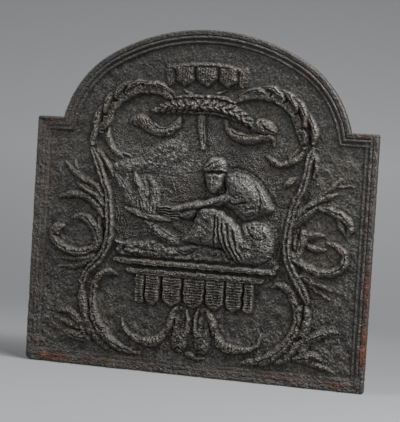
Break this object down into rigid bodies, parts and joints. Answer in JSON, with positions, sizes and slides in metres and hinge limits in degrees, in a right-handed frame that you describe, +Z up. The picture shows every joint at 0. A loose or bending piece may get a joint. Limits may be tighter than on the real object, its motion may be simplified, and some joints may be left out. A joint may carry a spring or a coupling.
{
  "type": "fireback",
  "caption": "Arched cast-iron fireback with a moulded rim and a relief of leafy scrolls, tasselled valances and a cloaked figure warming both hands at a fire.",
  "frame": {"origin": "middle of the bottom face of the plate, halfway through its thickness", "axes": "+X to the right as seen from the hearth, +Y into the chimney wall, +Z up; the relief faces -Y"},
  "size_m": [0.7, 0.037, 0.685],
  "materials": {
    "plate_iron": "rough sand-cast skin, dull graphite",
    "rim_iron": "worn rim, brown on the edges, rust in places",
    "ornament_iron": "rubbed relief, paler on the crests",
    "figure_iron": "rubbed relief with a soft graphite sheen"
  },
  "bodies": {
    "root": {"back_plate": "plate_iron", "rim_left": "rim_iron", "rim_shoulder_left": "rim_iron", "rim_haunch_left": "rim_iron", "rim_crown": "rim_iron", "rim_haunch_right": "rim_iron", "rim_shoulder_right": "rim_iron", "rim_right": "rim_iron", "rim_bottom": "rim_iron", "figure_cap": "figure_iron", "figure_head": "figure_iron", "figure_arms": "figure_iron", "figure_robe": "figure_iron", "figure_cloak": "figure_iron", "figure_foot": "figure_iron", "bundle": "figure_iron", "fire_pan": "figure_iron", "flames": "figure_iron", "logs": "figure_iron", "rocks": "figure_iron", "smoke": "figure_iron", "cornice": "ornament_iron", "bracket": "ornament_iron", "tassel_1": "ornament_iron", "tassel_2": "ornament_iron", "tassel_3": "ornament_iron", "tassel_4": "ornament_iron", "tassel_5": "ornament_iron", "tassel_6": "ornament_iron", "tassel_7": "ornament_iron", "valance_top": "ornament_iron", "garland": "ornament_iron", "garland_end_left": "ornament_iron", "garland_end_right": "ornament_iron", "pendant": "ornament_iron", "scroll_top_left": "ornament_iron", "scroll_top_right": "ornament_iron", "stem_left": "ornament_iron", "stem_right": "ornament_iron", "hook_left": "ornament_iron", "hook_right": "ornament_iron", "bud_right": "ornament_iron", "spray_left": "ornament_iron", "spray_right": "ornament_iron", "volute_left": "ornament_iron", "volute_right": "ornament_iron", "curl_right": "ornament_iron", "volute_right_inner": "ornament_iron", "leaflet_left": "ornament_iron", "leaflet_right": "ornament_iron", "scroll_low_left": "ornament_iron", "scroll_low_right": "ornament_iron", "leaf_pair_left": "ornament_iron", "leaf_pair_right": "ornament_iron", "bottom_bud": "ornament_iron", "scroll_inner_left": "ornament_iron", "scroll_inner_right": "ornament_iron", "corner_spray_left": "ornament_iron", "corner_spray_right": "ornament_iron"}
  },
  "joints": []
}
